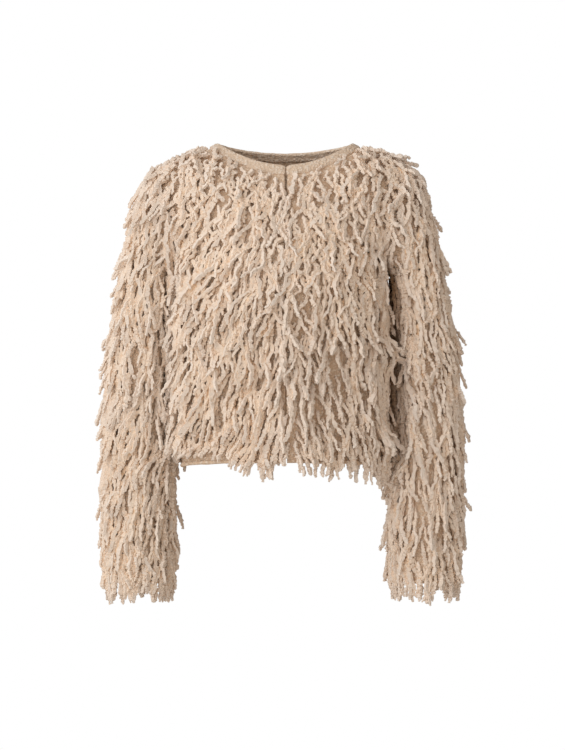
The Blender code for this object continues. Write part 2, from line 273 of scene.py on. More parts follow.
def yarnMaterial():
    material, maker = newMaterial("boucleYarn")
    place = maker.value("ShaderNodeTexCoord", name="Object")
    tint, cover, hollow = [
        maker.value("ShaderNodeAttribute", {"attribute_name": name}, name="Fac")
        for name in ("tint", "cover", "hollow")
    ]
    loops = loopNoise(maker, place, yarnLook)
    # Painted shade: the more other strands lie over the yarn, the deeper and warmer its colour.
    colour = yarnLook["tip"]
    steps = yarnLook["coverShadeSteps"]
    for name, start, end in zip(("light", "mid", "underShade"), steps, steps[1:]):
        colour = maker.between(colour, yarnLook[name], maker.ramp(cover, start, end))
    # Painted shade: the hollow colour darkens the yarn where cloth shuts it in, as under the arms.
    shade = maker.ramp(hollow, *yarnLook["hollowShadeSteps"])
    colour = maker.between(colour, yarnLook["hollow"], shade, "MULTIPLY")
    # Painted shade: the loop noise that raises the bump also darkens the yarn where it is low, in the pits
    # between loops; the tint is each strand's own random tone.
    mottleShade = maker.ramp(loops, *yarnLook["mottleShadeSteps"])
    change = tint * yarnLook["strandChange"] + mottleShade * yarnLook["mottleShade"]
    colour = maker.between(colour, yarnLook["strandTone"], change, "MULTIPLY")
    finishMaterial(maker, colour, loops, yarnLook)
    return material


def knitMaterial(name, look):
    material, maker = newMaterial(name)
    place = maker.value("ShaderNodeTexCoord", name="Object")
    loops = loopNoise(maker, place, look)
    cells = {"Vector": place, "Scale": look["loopScale"]}
    stitches = 1.0 - maker.value("ShaderNodeTexVoronoi", None, cells, "Distance")
    # Painted shade: the colour follows the bump, deeper in the low stitches and loops and lighter on the high
    # ones.
    mottleShade = maker.ramp(loops * look["loopShare"] + stitches * look["stitchShare"], *look["mottleShadeSteps"])
    colour = maker.between(look["deep"], look["light"], mottleShade)
    finishMaterial(maker, colour, stitches * look["relief"] + loops * look["relief"], look)
    return material


yarn = yarnMaterial()
groundKnit = knitMaterial("groundKnit", knitLook)
bandKnit = knitMaterial("bandKnit", bandLook)
print("materials made")


# The ground cloth's outer faces, joined over the seams into one smooth form.
formSizes = {
    "merge": 0.00002,
    "weld": 0.0009,  # over the gap of a seam
    "skinGap": 0.0007,  # the most between the cloth and its fringe's solid
    "corner": 40,
    "foldFacing": 0.2,  # how squarely a place faces front before it folds
    "groundSmoothing": 1,
    "rootSmoothing": 2,
}
# The largest folds of the front, soft troughs, or ridges where the depth is below nought:
# ends ax, az and bx, bz, then halfWidth and depth.
folds = (
    (-0.008, -0.275, -0.053, -0.374, 0.024, 0.007),
    (-0.053, -0.374, -0.120, -0.450, 0.024, 0.009),
    (0.052, -0.300, 0.078, -0.470, 0.024, 0.008),
    (0.020, -0.330, 0.012, -0.470, 0.026, -0.007),
    (0.112, -0.330, 0.118, -0.480, 0.024, 0.008),
    (-0.105, -0.150, -0.085, -0.215, 0.030, 0.006),
    (0.162, -0.235, 0.165, -0.470, 0.014, 0.008),
    (0.164, -0.245, 0.165, -0.285, 0.015, 0.012),
    (0.160, -0.320, 0.172, -0.400, 0.018, 0.014),
    (0.170, -0.430, 0.176, -0.475, 0.014, 0.010),
)
# The front opening gapes a little at these heights: top, bottom, halfWidth.
gaps = ((-0.046, -0.066, 0.0012), (-0.074, -0.116, 0.0028), (-0.149, -0.171, 0.0020))
opening = {"middle": 0.005, "gapReach": 0.014, "gapFade": 0.004}


def openMesh(data):
    mesh = bmesh.new()
    mesh.from_mesh(data)
    return mesh


def closeMesh(mesh, data):
    mesh.to_mesh(data)
    mesh.free()
    return data


def nodeMesh(name):
    mesh = openMesh(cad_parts[name].data)
    bmesh.ops.remove_doubles(mesh, verts=mesh.verts[:], dist=formSizes["merge"])
    bmesh.ops.triangulate(mesh, faces=mesh.faces[:])
    return mesh


def searchTree(mesh):
    tree = BVHTree.FromBMesh(mesh)
    mesh.free()
    return tree


def outerFaces(name):
    # The fringe's solid lies just off the outer side, and far from the inner side.
    wall = nodeMesh(name)
    skin = searchTree(nodeMesh(name + "_fringe"))
    inner = [f for f in wall.faces if skin.find_nearest(f.calc_center_median())[3] > formSizes["skinGap"]]
    bmesh.ops.delete(wall, geom=inner, context="FACES")
    return wall


def markCorners(mesh):
    # Corners of an open edge stay corners when the mesh is smoothed.
    layer = mesh.verts.layers.float.get("crease_vert") or mesh.verts.layers.float.new("crease_vert")
    for vertex in mesh.verts:
        rims = [e for e in vertex.link_edges if e.is_boundary]
        if len(rims) == 2:
            arms = [e.other_vert(vertex).co - vertex.co for e in rims]
            if math.pi - arms[0].angle(arms[1]) > math.radians(formSizes["corner"]):
                vertex[layer] = 1.0


def gapingAt(co):
    # How far a place is drawn aside from the front opening.
    side = co.x - opening["middle"]
    if co.y > 0 or abs(side) > opening["gapReach"]:
        return 0.0
    widest = 0.0
    for top, bottom, halfWidth in gaps:
        inside = min(top - co.z, co.z - bottom) / opening["gapFade"] + 0.5
        widest = max(widest, halfWidth * min(1.0, max(0.0, inside)))
    return math.copysign(widest * (1 - abs(side) / opening["gapReach"]), side)


def foldingAt(co, facing):
    # How far a place of the front is pushed in or out by the folds.
    push = 0.0
    if facing > formSizes["foldFacing"]:
        for ax, az, bx, bz, halfWidth, depth in folds:
            run = Vector((bx - ax, bz - az))
            place = Vector((co.x - ax, co.z - az))
            share = min(1.0, max(0.0, place.dot(run) / run.length_squared))
            gap = (place - run * share).length
            push -= depth * math.exp(-((gap / halfWidth) ** 2)) * facing
    return push


def foldForm(mesh):
    mesh.normal_update()
    moves = []
    for vertex in mesh.verts:
        push = foldingAt(vertex.co, -vertex.normal.y)
        moves.append(vertex.normal * push + Vector((gapingAt(vertex.co), 0, 0)))
    for vertex, move in zip(mesh.verts, moves):
        vertex.co += move


def plain(holder):
    # The evaluated mesh takes the place of the modifiers.
    graph = bpy.context.evaluated_depsgraph_get()
    found = bpy.data.meshes.new_from_object(
        holder.evaluated_get(graph), preserve_all_data_layers=True, depsgraph=graph
    )
    holder.modifiers.clear()
    old = holder.data
    holder.data = found
    bpy.data.meshes.remove(old)


def smoothed(holder, levels):
    smoother = holder.modifiers.new("smooth", "SUBSURF")
    smoother.levels = levels
    smoother.render_levels = levels
    plain(holder)


def smoothForm(levels):
    # Each face keeps its panel's number as its material's number.
    whole = bmesh.new()
    for number, name in enumerate(panels):
        part = outerFaces(name)
        for face in part.faces:
            face.material_index = number
        held = closeMesh(part, bpy.data.meshes.new("part"))
        whole.from_mesh(held)
        bpy.data.meshes.remove(held)
    bmesh.ops.remove_doubles(whole, verts=whole.verts[:], dist=formSizes["weld"])
    markCorners(whole)
    joined = closeMesh(whole, bpy.data.meshes.new("form"))
    for _ in panels:
        joined.materials.append(None)
    holder = bpy.data.objects.new("form", joined)
    scene.collection.objects.link(holder)
    smoothed(holder, levels)
    made = openMesh(holder.data)
    foldForm(made)
    closeMesh(made, holder.data)
    return holder


def panelMesh(number, whole):
    mesh = openMesh(whole.data)
    others = [f for f in mesh.faces if f.material_index != number]
    bmesh.ops.delete(mesh, geom=others, context="FACES")
    return mesh


groundForm = smoothForm(formSizes["groundSmoothing"])
form = smoothForm(formSizes["rootSmoothing"])
print("form made, faces", len(form.data.polygons))


# Ground cloth: each panel of the form, given its thickness, and rolled at its open lower edge.
clothSizes = {"thickness": 0.0026, "lowest": -0.44, "steepest": 0.8, "sharpAngle": 60}
# The roll is uneven like the yarn: its size changes by a wave that quickens and slows.
rollSizes = {"radius": 0.0030, "rounding": 2, "change": 0.18, "pace": 2.3, "quicken": 1.7, "quickenPace": 0.9}


def addPiece(name, mesh, material):
    mesh.materials.clear()
    mesh.materials.append(material)
    for face in mesh.polygons:
        face.material_index = 0
    piece = bpy.data.objects.new(name, mesh)
    scene.collection.objects.link(piece)
    return piece


def lowEdges(mesh):
    # The edges round the open lower end of the body or of a sleeve.
    return [
        edge
        for edge in mesh.edges
        if edge.is_boundary and all(v.co.z < clothSizes["lowest"] for v in edge.verts)
    ]


def openChain(number):
    # The panel's part of the open lower edge, as a row of places from one end to the other.
    whole = openMesh(groundForm.data)
    joins = {}
    for edge in lowEdges(whole):
        first, second = edge.verts
        run = second.co - first.co
        level = abs(run.z) < clothSizes["steepest"] * run.length
        if level and edge.link_faces[0].material_index == number:
            joins.setdefault(first.index, []).append(second.index)
            joins.setdefault(second.index, []).append(first.index)
    places = {vertex.index: vertex.co.copy() for vertex in whole.verts if vertex.index in joins}
    whole.free()
    ends = [index for index in joins if len(joins[index]) == 1]
    row = [ends[0] if ends else min(joins)]
    onward = joins[row[-1]]
    while onward:
        row.append(onward[0])
        onward = [index for index in joins[row[-1]] if index not in row]
    return [places[index] for index in row], not ends


def addRoll(number, mesh):
    row, isRing = openChain(number)
    curve = bpy.data.curves.new("roll", "CURVE")
    curve.dimensions = "3D"
    curve.bevel_depth = rollSizes["radius"]
    curve.bevel_resolution = rollSizes["rounding"]
    curve.use_fill_caps = True
    spline = curve.splines.new("POLY")
    spline.points.add(len(row) - 1)
    spline.use_cyclic_u = isRing
    for step, (point, place) in enumerate(zip(spline.points, row)):
        wave = step * rollSizes["pace"] + rollSizes["quicken"] * math.sin(step * rollSizes["quickenPace"])
        point.co = (*place, 1)
        point.radius = 1 + rollSizes["change"] * math.sin(wave)
    holder = bpy.data.objects.new("roll", curve)
    scene.collection.objects.link(holder)
    graph = bpy.context.evaluated_depsgraph_get()
    tube = bpy.data.meshes.new_from_object(holder.evaluated_get(graph), depsgraph=graph)
    mesh.from_mesh(tube)
    bpy.data.objects.remove(holder, do_unlink=True)
    bpy.data.meshes.remove(tube)


def groundPiece(number, name):
    made = closeMesh(panelMesh(number, groundForm), bpy.data.meshes.new("ground_" + name))
    piece = addPiece("ground_" + name, made, groundKnit)
    wall = piece.modifiers.new("wall", "SOLIDIFY")
    wall.thickness = clothSizes["thickness"]
    wall.offset = -1
    plain(piece)
    mesh = openMesh(piece.data)
    addRoll(number, mesh)
    closeMesh(mesh, piece.data)
    piece.data.shade_smooth()
    piece.data.set_sharp_from_angle(angle=math.radians(clothSizes["sharpAngle"]))
    return piece


grounds = {name: groundPiece(number, name) for number, name in enumerate(panels)}
print("ground cloth made")


# Neckband: the CAD band, rounded and given its lumpy surface.
bandSizes = {"smoothing": 2, "edge": 50, "crease": 0.35}
bandLumps = {"Lump": 0.0013, "Lump Scale": 300.0, "Swell": 0.0006}


def bandTree():
    maker = GeometryMaker("bandSurface", {"Band": "Geometry", **sizeSockets(bandLumps), "Knit": "Material"})
    lumps = maker.swing(maker.value("GeometryNodeInputPosition"), maker.given("Lump Scale"), 2.0)
    push = lumps * maker.given("Lump") + maker.given("Swell")
    offset = maker.scaled(maker.value("GeometryNodeInputNormal"), push)
    moves = {"Geometry": maker.given("Band"), "Offset": offset}
    return maker.finish(maker.value("GeometryNodeSetPosition", None, moves), maker.given("Knit"))


def neckbandPiece():
    mesh = nodeMesh("neckband")
    layer = mesh.edges.layers.float.new("crease_edge")
    for edge in mesh.edges:
        if edge.calc_face_angle(0) > math.radians(bandSizes["edge"]):
            edge[layer] = bandSizes["crease"]
    made = closeMesh(mesh, bpy.data.meshes.new("neckband_knit"))
    piece = addPiece("neckband_knit", made, bandKnit)
    smoothed(piece, bandSizes["smoothing"])
    surface = piece.modifiers.new("surface", "NODES")
    surface.node_group = bandTree()
    setInputs(surface, dict(bandLumps, Knit=bandKnit))
    plain(piece)
    piece.data.shade_smooth()
    return piece


band = neckbandPiece()
print("neckband made")


# How the fringe lies, by place, on the wearer's body.
# Rows of x, z and tilt: degrees off straight down, towards the viewer's right where positive.
frontTilt = (
    (-0.24, -0.05, -6), (-0.24, -0.30, -6), (-0.24, -0.60, -2),
    (-0.14, -0.03, -4), (-0.10, -0.08, -12), (-0.10, -0.16, -18), (-0.10, -0.28, -12), (-0.10, -0.38, -14),
    (-0.10, -0.46, -26), (-0.02, -0.10, -6), (-0.02, -0.20, -10), (-0.03, -0.30, -10), (-0.04, -0.42, -9),
    (0.05, -0.08, -6), (0.05, -0.20, -8), (0.06, -0.32, 1), (0.06, -0.44, 5),
    (0.14, -0.03, 2), (0.13, -0.10, -6), (0.13, -0.20, 1), (0.13, -0.34, 8), (0.13, -0.44, 10),
    (0.24, -0.06, 8), (0.24, -0.30, 6), (0.24, -0.60, 3),
)
# Rows of x and reach: how far the fringe hangs below the hem, or ends above it where below nought.
frontReach = (
    (-0.170, 0.004), (-0.150, -0.006), (-0.074, -0.006), (-0.058, 0.014), (-0.035, 0.026),
    (0.0, 0.024), (0.035, 0.022), (0.075, 0.028), (0.120, 0.034), (0.170, 0.030),
)
backReach = ((-0.150, 0.000), (-0.070, 0.000), (-0.045, 0.022), (0.060, 0.026), (0.150, 0.030))
# Rows of z and share: how far the fringe is combed away from the front opening.
parting = ((-0.48, 0.1), (-0.20, 0.2), (-0.17, 0.9), (-0.14, 0.9), (-0.125, 0.2), (-0.11, 1.0), (-0.04, 1.0))
# Where there are two heights, something starts at the first and is whole at the second.
layout = {
    "rowSpread": 0.055,  # how far round it a row of frontTilt counts
    "leastWeight": 1e-5,
    "backTilt": -0.7,  # of the front's tilt
    "partingAngle": 9,
    "partingWidth": 0.014,
    "partingBare": 0.0030,  # half the bare strip, where the parting's share is over partingOpen
    "partingOpen": 0.5,
    "column": 0.02,  # the hem's height is read in columns this wide
    "cuffReach": 0.029,
    "leastRoom": 0.024,  # below a root, down to the fringe's end
    "neckRoom": 0.052,  # the most at the neck, with roomGain for each metre away from it
    "roomGain": 0.45,
    "chestCurl": 1.5,
    "hemCurl": 0.75,
    "curlHeights": (-0.42, -0.12),
    "sleeveCurl": (0.5, 0.4),  # least, and share of the body's
    "shoulder": (0.1, 0.6),  # how far a place faces up
    "thinned": {"front_left": 0.50, "sleeve_left": 0.30},
    "thinHeights": (-0.16, -0.28),
    "bareHollow": 0.70,
}
# Lift: how high the fringe stands, as a share of the strands' own lift.
lifts = {
    "neck": 0.55,
    "neckFade": 0.030,
    "cuff": 0.40,
    "hem": 0.70,
    "hemFade": 0.060,
    "armHeights": (-0.17, -0.47),  # the armpit and the hem
    "underArm": (1.7, 0.25),  # right, left
    "belowHem": (0.45, 1.0),  # right, left
    "sideways": (0.45, 0.85),  # how far a place faces sideways
    "ragged": 0.8,  # tufts that stand out down the body's left side
    "raggedWaves": ((95, 0.0), (41, 1.3)),
}
# Rows of the panels, the change of lift where they face front or back, and its two heights.
liftChanges = (
    (bodyPanels, 0.35, -0.20, -0.35),
    (("front_left",), 0.40, -0.18, -0.28),
    (bodyPanels, -0.25, -0.26, -0.10),
)
# How shut in each place is: the share of its open side taken up by cloth close by. It keeps strands out of
# the deepest hollows and sets the yarn's painted shade there.
hollowSizes = {"reach": 0.085, "start": 0.004, "rays": 16, "rightArm": 0.35}


def readTable(rows, at):
    if at <= rows[0][0]:
        return rows[0][1]
    for low, high in zip(rows, rows[1:]):
        if at <= high[0]:
            share = (at - low[0]) / (high[0] - low[0])
            return low[1] + (high[1] - low[1]) * share
    return rows[-1][1]


def fade(value, start, end):
    # From 0 at the start to 1 at the end, with soft ends.
    share = min(1.0, max(0.0, (value - start) / (end - start)))
    return share * share * (3 - 2 * share)


def isSleeve(name):
    return name.startswith("sleeve")


def lowestEdge(number):
    # The height of a panel's lower edge: by columns, and the least of them.
    mesh = panelMesh(number, form)
    columns = {}
    for edge in lowEdges(mesh):
        for vertex in edge.verts:
            column = round(vertex.co.x / layout["column"])
            columns[column] = min(columns.get(column, 0.0), vertex.co.z)
    mesh.free()
    return columns, min(columns.values())


def endBelow(name, co, columns, least):
    # The height of the edge below a place, and how far the fringe hangs past it.
    if isSleeve(name):
        return least, layout["cuffReach"]
    near = [columns[c] for c in columns if abs(c - round(co.x / layout["column"])) <= 1]
    edge = sum(near) / len(near) if near else least
    return edge, readTable(backReach if name == "back" else frontReach, co.x)


def tiltAt(name, co, normal):
    # The tilt of the fringe, from the rows near this place.
    total = 0.0
    weights = 0.0
    for x, z, tilt in frontTilt:
        gap = (co.x - x) ** 2 + (co.z - z) ** 2
        weight = math.exp(-gap / layout["rowSpread"] ** 2) + layout["leastWeight"]
        total += weight * tilt
        weights += weight
    tilt = total / weights
    if isSleeve(name):
        return tilt * -normal.y
    if name == "back":
        return tilt * layout["backTilt"]
    side = co.x - opening["middle"]
    away = math.exp(-((side / layout["partingWidth"]) ** 2)) * readTable(parting, co.z)
    return tilt * (1 - away) + math.copysign(layout["partingAngle"] * away, side)


def curlAt(name, co):
    curl = layout["hemCurl"] + (layout["chestCurl"] - layout["hemCurl"]) * fade(co.z, *layout["curlHeights"])
    if isSleeve(name):
        least, share = layout["sleeveCurl"]
        curl = least + curl * share
    return curl


def armLift(name, co, normal):
    # Where body and sleeve face each other the fringe stands away or lies flat.
    highest, lowest = lifts["armHeights"]
    if co.z >= highest or (isSleeve(name) and normal.x * co.x >= 0):
        return 1.0
    lift = lifts["underArm" if co.z > lowest else "belowHem"][int(co.x > 0)]
    if co.x > 0 and not isSleeve(name):
        ragged = sum(math.sin(co.z * pace + start) for pace, start in lifts["raggedWaves"])
        lift += lifts["ragged"] * max(0.0, ragged)
    return 1 - (1 - lift) * fade(abs(normal.x), *lifts["sideways"])


def liftAt(name, co, normal, fromNeck, height):
    lift = lifts["neck"] + (1 - lifts["neck"]) * fade(fromNeck, 0, lifts["neckFade"])
    end = lifts["cuff" if isSleeve(name) else "hem"]
    lift *= end + (1 - end) * fade(height, 0, lifts["hemFade"])
    lift *= armLift(name, co, normal)
    for names, change, start, whole in liftChanges:
        if name in names:
            lift *= 1 + change * abs(normal.y) * fade(co.z, start, whole)
    return lift


def thickAt(name, co, normal, room, hollow):
    # How thickly strands grow: none by the opening, just over an edge or deep in a hollow.
    side = co.x - opening["middle"]
    parted = readTable(parting, co.z) > layout["partingOpen"]
    if name.startswith("front") and parted and abs(side) < layout["partingBare"]:
        return 0.0
    if room < layout["leastRoom"] or hollow > layout["bareHollow"]:
        return 0.0
    thinned = layout["thinned"].get(name, 0.0)
    return 1 - thinned * abs(normal.y) * fade(co.z, *layout["thinHeights"])


def spread(count):
    # Directions spread evenly over a ball.
    rays = []
    for number in range(count):
        rise = 1 - (2 * number + 1) / count
        across = math.sqrt(1 - rise * rise)
        turned = number * math.pi * (3 - math.sqrt(5))
        rays.append((math.cos(turned) * across, math.sin(turned) * across, rise))
    return rays


def hollowAt(wall, co, normal, rays):
    hidden = 0.0
    whole = 0.0
    start = co + normal * hollowSizes["start"]
    for ray in rays:
        side = 1 if normal.dot(ray) > 0 else -1
        share = normal.dot(ray) * side
        found = wall.ray_cast(start, Vector(ray) * side, hollowSizes["reach"])[3]
        whole += share
        if found is not None:
            hidden += share * (1 - found / hollowSizes["reach"])
    # On the wearer's right side the share is scaled by rightArm, which makes the painted shade there weaker.
    return hidden / whole * (1.0 if co.x > 0 else hollowSizes["rightArm"])


def layFringe():
    # What each place of the form says about the strands that grow there or pass over it.
    neck = searchTree(nodeMesh("neckband"))
    wall = searchTree(openMesh(form.data))
    rays = spread(hollowSizes["rays"])
    edges = [lowestEdge(number) for number in range(len(panels))]
    mesh = form.data
    panelOf = [0] * len(mesh.vertices)
    for face in mesh.polygons:
        for vertex in face.vertices:
            panelOf[vertex] = face.material_index
    lies = []
    laid = {"room": [], "top": [], "thick": [], "hollow": []}
    for vertex in mesh.vertices:
        co, normal, number = vertex.co, vertex.normal, panelOf[vertex.index]
        name = panels[number]
        fromNeck = neck.find_nearest(co)[3]
        edge, reach = endBelow(name, co, *edges[number])
        room = co.z - edge + reach
        hollow = hollowAt(wall, co, normal, rays)
        laid["thick"].append(thickAt(name, co, normal, room, hollow))
        if not isSleeve(name):
            room = min(room, layout["neckRoom"] + fromNeck * layout["roomGain"])
        laid["room"].append(room)
        laid["top"].append(fade(normal.z, *layout["shoulder"]))
        laid["hollow"].append(hollow)
        lift = liftAt(name, co, normal, fromNeck, co.z - edge)
        lies += (math.radians(tiltAt(name, co, normal)), lift, curlAt(name, co))
    mesh.attributes.new("lie", "FLOAT_VECTOR", "POINT").data.foreach_set("vector", lies)
    for label, numbers in laid.items():
        mesh.attributes.new(label, "FLOAT", "POINT").data.foreach_set("value", numbers)


layFringe()
print("fringe laid out")


# Strands.  Each one grows step by step: it falls down the cloth, is combed and waved, and is kept
# at its own height over the cloth, or hangs free below a hem or a cuff.
strand = {
    "Spacing": 0.0098,
    "Length": 0.072,
    "Length Spread": 0.32,
    "Shortest": 0.020,
    "Radius": 0.0031,
    "Radius Spread": 0.20,
    "Knobs": 0.20,
    "Beads": 0.22,
    "Tufts": 0.16,
    "Cover Reach": 0.022,
    "Lift": 0.0112,
    "Flare": 0.016,
    "Crinkle": 0.0008,
    "Wave": 0.30,
    "Kink": 1.1,
    "Drift": 0.6,
    "Drift Scale": 26.0,
    "Turn": 0.45,
    "Steps": 29,
    "Sides": 4,
    "Seed": 1,
}
# Finer points of the growth.  Pairs are a least and a most, or where a ramp starts and ends.
growth = {
    "density": 30000.0,  # more than the spacing lets grow
    "roomShare": (0.72, 1.16),
    "rootLean": 0.8,  # outwards, against 1 downwards
    "steadiness": 0.45,  # share of the last heading that a strand keeps
    "clothHold": 0.96,  # how closely the fall follows the cloth
    "ripplePaces": (10.0, 28.0),
    "rippleStarts": (0.0, 6.28),
    "kinkPace": 7.0,
    "shoulderStand": 3.0,
    "shoulderRoots": (0.08, 0.26),
    "shoulderRise": (-0.05, 0.15),
    "shoulderShare": 0.95,
    "rise": (-0.35, 1.0),
    "layers": (0.62, 1.0),
    "bob": 0.2,
    "bobPace": 5.0,
    "restHeight": 0.6,  # both in radii of the yarn
    "leastHeight": 0.5,
    "flarePower": 5.0,
    "freeFall": (0.35, 0.8),  # how squarely a place hangs below the nearest cloth
    "settling": 0.6,  # share of a wrong height that a stride puts right
}
yarnShape = {
    "shades": (0.75, 0.25),
    "knobPace": 18.0,
    "knobGain": 2.0,
    "tipFrom": 0.9,
    "tipSize": 0.62,
    "rootTo": 0.15,
    "rootSize": 0.7,
}
coverSizes = {"rays": 10, "start": 0.0006, "leastHidden": 0.02, "leastWhole": 0.05, "blur": 2}
# Each random draw has its own place in this row, which sets its seed.
draws = ("length", "room", "pace", "start", "turn", "layer", "tint", "shade", "stoutness", "flare", "jolt")
# Steps that keep the lines through the noise apart.
noiseLines = {"strand": 7.31, "seed": 3.7, "bob": 3.0, "knob": 9.0}


class FringeMaker(GeometryMaker):
    def attribute(self, name, kind="FLOAT"):
        return self.value("GeometryNodeInputNamedAttribute", {"data_type": kind}, {"Name": name})

    def store(self, geometry, name, value, kind="FLOAT", where=True):
        settings = {"data_type": kind, "domain": "POINT"}
        inputs = {"Geometry": geometry, "Name": name, "Value": value, "Selection": where}
        return self.value("GeometryNodeStoreNamedAttribute", settings, inputs)

    def seed(self, draw):
        return self.given("Seed") + (draws.index(draw) + 1)

    def chance(self, draw, low=0.0, high=1.0):
        # A draw for each strand.
        number = self.attribute("strand", "INT")
        inputs = {"Min_001": low, "Max_001": high, "ID": number, "Seed": self.seed(draw)}
        return self.value("FunctionNodeRandomValue", {"data_type": "FLOAT"}, inputs, "Value_001")

    def scatter(self):
        # A draw from -1 to 1 for each point.
        inputs = {"Min_001": -1.0, "Max_001": 1.0}
        return self.value("FunctionNodeRandomValue", {"data_type": "FLOAT"}, inputs, "Value_001")

    def strandNoise(self, step, pace):
        # Noise along one strand: each has its own line through it.
        line = self.attribute("strand", "INT") * noiseLines["strand"]
        seed = self.given("Seed") * noiseLines["seed"]
        place = self.value("ShaderNodeCombineXYZ", None, {0: line, 1: step * pace, 2: seed})
        return self.swing(place, 1.0, 1.0)

    def formInfo(self):
        return self.value("GeometryNodeObjectInfo", None, {"Object": self.given("Form")}, "Geometry")

    def onForm(self, value, kind="FLOAT"):
        # A value of the form, read at the place nearest to each point.
        place = self.value("GeometryNodeInputPosition")
        inputs = {"Mesh": self.formInfo(), "Value": value, "Sample Position": place}
        return self.value("GeometryNodeSampleNearestSurface", {"data_type": kind}, inputs, "Value")

    def compare(self, kind, operation, inputs):
        return self.value("FunctionNodeCompare", {"data_type": kind, "operation": operation}, inputs)


def plantRoots(maker):
    # One point for each strand, with its length and the way it first points.
    density = {
        "Mesh": maker.given("Cloth"),
        "Distance Min": maker.given("Spacing"),
        "Density Max": growth["density"],
        "Density Factor": maker.attribute("thick"),
        "Seed": maker.given("Seed"),
    }
    planted = maker.add("GeometryNodeDistributePointsOnFaces", {"distribute_method": "POISSON"}, density)
    points = maker.store(maker.out(planted, "Points"), "strand", maker.value("GeometryNodeInputIndex"), "INT")
    points = maker.store(points, "rootNormal", maker.out(planted, "Normal"), "FLOAT_VECTOR")
    length = maker.given("Length") * (1.0 + maker.given("Length Spread") * maker.chance("length", -1.0, 1.0))
    room = maker.attribute("room") * maker.chance("room", *growth["roomShare"])
    points = maker.store(points, "reach", maker.math("MINIMUM", length, room))
    short = maker.compare("FLOAT", "LESS_THAN", {"A": maker.attribute("reach"), "B": maker.given("Shortest")})
    dropped = {"Geometry": points, "Selection": short}
    points = maker.value("GeometryNodeDeleteGeometry", {"domain": "POINT"}, dropped)
    leaning = maker.scaled(maker.attribute("rootNormal", "FLOAT_VECTOR"), growth["rootLean"])
    heading = maker.unit(maker.vector("ADD", leaning, down))
    points = maker.store(points, "heading", heading, "FLOAT_VECTOR")
    copied = {"Geometry": points, "Amount": maker.given("Steps")}
    copies = maker.add("GeometryNodeDuplicateElements", {"domain": "POINT"}, copied)
    return maker.store(maker.out(copies), "place", maker.out(copies, "Duplicate Index"), "INT")


def headingAt(maker, along, normal, tilt, curl):
    # Down the cloth, turned by the combing, the drift, and the strand's own waves and kinks.
    against = maker.dot(normal, down) * growth["clothHold"]
    falling = maker.unit(maker.vector("SUBTRACT", down, maker.scaled(normal, against)))
    sideways = maker.unit(maker.vector("CROSS_PRODUCT", normal, falling))
    position = maker.value("GeometryNodeInputPosition")
    drift = maker.swing(position, maker.given("Drift Scale"), 1.0) * maker.given("Drift")
    wave = along * maker.chance("pace", *growth["ripplePaces"])
    wave = wave + maker.chance("start", *growth["rippleStarts"])
    ripple = maker.math("SINE", wave) * maker.given("Wave")
    kink = maker.strandNoise(along, growth["kinkPace"]) * maker.given("Kink")
    turn = maker.chance("turn", -1.0, 1.0) * maker.given("Turn")
    angle = tilt + drift + (turn + ripple + kink) * curl
    straight = maker.scaled(falling, maker.math("COSINE", angle))
    flow = maker.vector("ADD", straight, maker.scaled(sideways, maker.math("SINE", angle)))
    stand = maker.attribute("top") * maker.ramp(along, *growth["shoulderRoots"], growth["shoulderStand"], 0.0)
    flow = maker.unit(maker.vector("ADD", flow, maker.scaled(normal, stand)))
    before = maker.scaled(maker.attribute("heading", "FLOAT_VECTOR"), growth["steadiness"])
    return maker.unit(maker.vector("ADD", before, maker.scaled(flow, 1.0 - growth["steadiness"])))


def heightAt(maker, along, lift):
    # The height over the cloth that a strand keeps to.
    radius = maker.given("Radius")
    rise = maker.ramp(along, *growth["rise"])
    shoulder = maker.ramp(along, *growth["shoulderRise"]) * maker.attribute("top") * growth["shoulderShare"]
    rise = maker.math("MAXIMUM", rise, shoulder)
    bob = maker.strandNoise(along + noiseLines["bob"], growth["bobPace"]) * growth["bob"]
    rest = radius * growth["restHeight"]
    risen = maker.chance("layer", *growth["layers"]) * rise + bob
    height = rest + (maker.given("Lift") - rest) * lift * risen
    height = height + maker.given("Flare") * along * along * maker.chance("flare") ** growth["flarePower"]
    return maker.math("MAXIMUM", height, radius * growth["leastHeight"])


